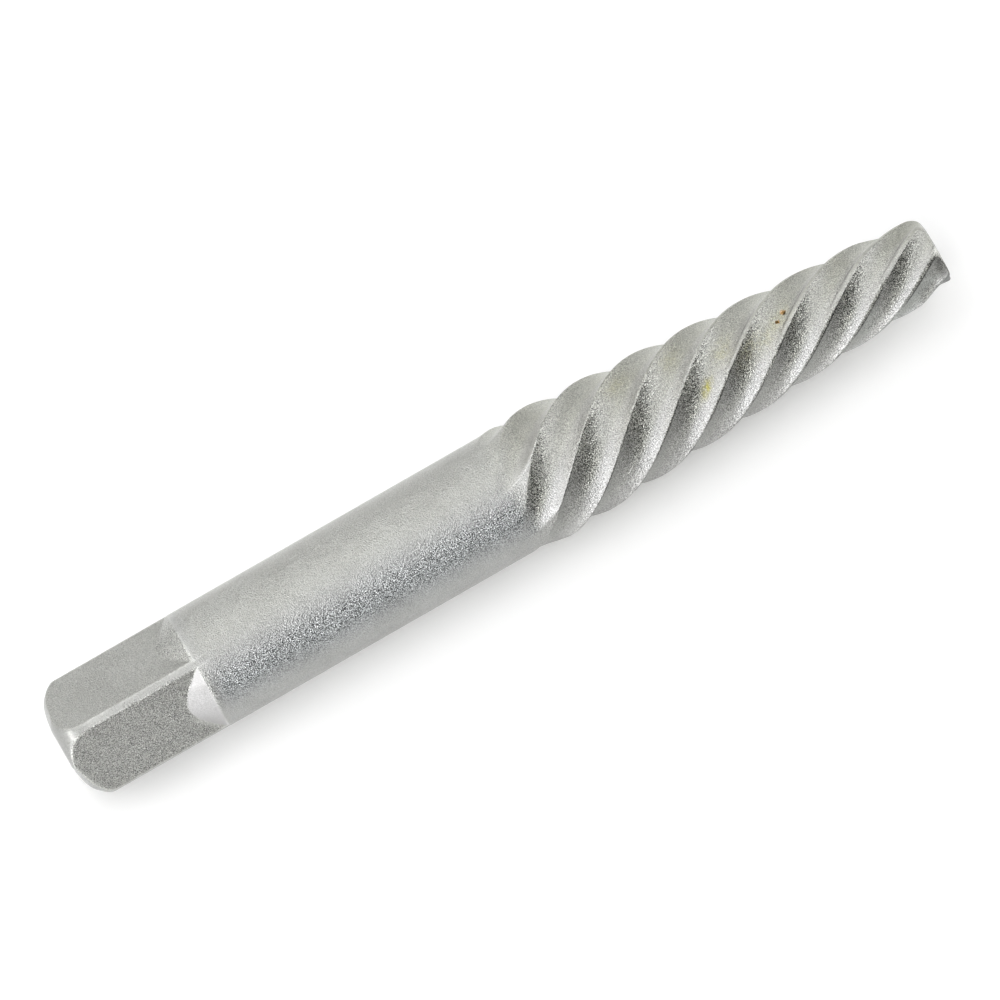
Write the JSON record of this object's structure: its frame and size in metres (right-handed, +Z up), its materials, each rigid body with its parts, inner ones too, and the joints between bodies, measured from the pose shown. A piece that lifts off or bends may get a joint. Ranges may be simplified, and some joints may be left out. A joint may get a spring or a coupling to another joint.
{
  "type": "screw extractor",
  "caption": "Tapered left-hand spiral screw extractor with hollow flutes between sharp ridges, a plain round shank and a square drive end.",
  "frame": {"origin": "centre of the drive end's flat face, on the tool's axis", "axes": "+X along the tool's axis towards the tip, +Z up with the tool lying on its side"},
  "size_m": [0.0857, 0.0115, 0.0115],
  "materials": {
    "steel": "hardened tool steel, bead-blasted to an even matt grey"
  },
  "bodies": {
    "root": {"screw_extractor": "steel"}
  },
  "joints": []
}
